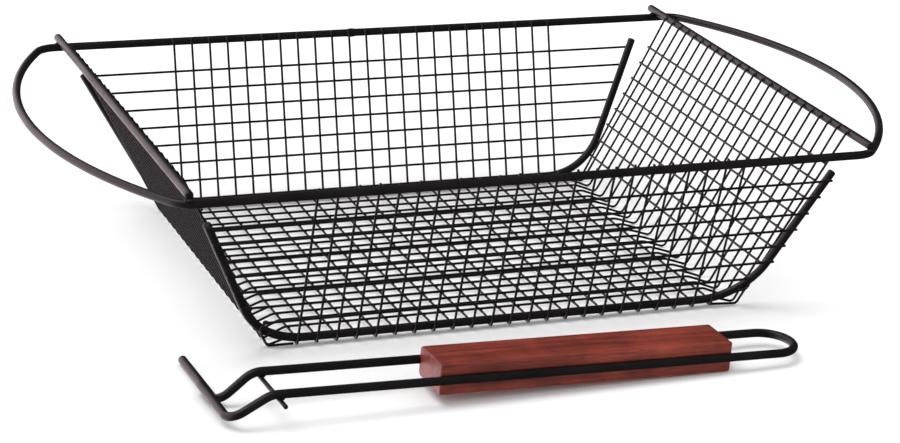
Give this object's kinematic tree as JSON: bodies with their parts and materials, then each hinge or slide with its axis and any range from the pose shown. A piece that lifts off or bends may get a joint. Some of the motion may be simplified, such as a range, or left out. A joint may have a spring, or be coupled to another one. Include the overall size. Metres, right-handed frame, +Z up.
{
  "type": "grill basket",
  "caption": "Open rectangular wire grill basket with flared mesh sides, bow-shaped end handles and a loose long lifting handle with a wooden grip.",
  "frame": {"origin": "middle of the basket on the plane that the bottom bends of its long wires rest on", "axes": "+X along the basket towards the right crossbar, +Y across it away from the loose handle, +Z up"},
  "size_m": [0.5406, 0.3999, 0.1112],
  "materials": {
    "coated_rod": "satin black non-stick coating on heavy steel rod",
    "coated_mesh": "satin black non-stick coating on thin steel wire",
    "handle_rod_coating": "satin black coating on handle rod",
    "stained_wood": "red-brown stained hardwood, matt lacquer"
  },
  "bodies": {
    "basket": {"back_panel_wire_1": "coated_mesh", "back_panel_wire_2": "coated_mesh", "back_panel_wire_3": "coated_mesh", "back_panel_wire_4": "coated_mesh", "back_panel_wire_5": "coated_mesh", "back_panel_wire_6": "coated_mesh", "back_panel_wire_7": "coated_mesh", "back_side_rod": "coated_rod", "front_panel_wire_1": "coated_mesh", "front_panel_wire_2": "coated_mesh", "front_panel_wire_3": "coated_mesh", "front_panel_wire_4": "coated_mesh", "front_panel_wire_5": "coated_mesh", "front_panel_wire_6": "coated_mesh", "front_panel_wire_7": "coated_mesh", "front_side_rod": "coated_rod", "left_cross_wire_1": "coated_mesh", "left_cross_wire_2": "coated_mesh", "left_cross_wire_3": "coated_mesh", "left_cross_wire_4": "coated_mesh", "left_cross_wire_5": "coated_mesh", "left_cross_wire_6": "coated_mesh", "left_cross_wire_7": "coated_mesh", "left_cross_wire_8": "coated_mesh", "left_crossbar": "coated_rod", "longitudinal_wires": "coated_mesh", "right_cross_wire_1": "coated_mesh", "right_cross_wire_2": "coated_mesh", "right_cross_wire_3": "coated_mesh", "right_cross_wire_4": "coated_mesh", "right_cross_wire_5": "coated_mesh", "right_cross_wire_6": "coated_mesh", "right_cross_wire_7": "coated_mesh", "right_cross_wire_8": "coated_mesh", "right_crossbar": "coated_rod", "rim_wire": "coated_rod", "transverse_wires": "coated_mesh"},
    "handle": {"handle_rod": "handle_rod_coating", "handle_stop_wire": "handle_rod_coating", "handle_grip": "stained_wood"}
  },
  "joints": [
    {"name": "handle_draw", "type": "slide", "parent": "basket", "child": "handle", "axis": [0, -1, 0], "range_m": [0, 0.25]}
  ]
}
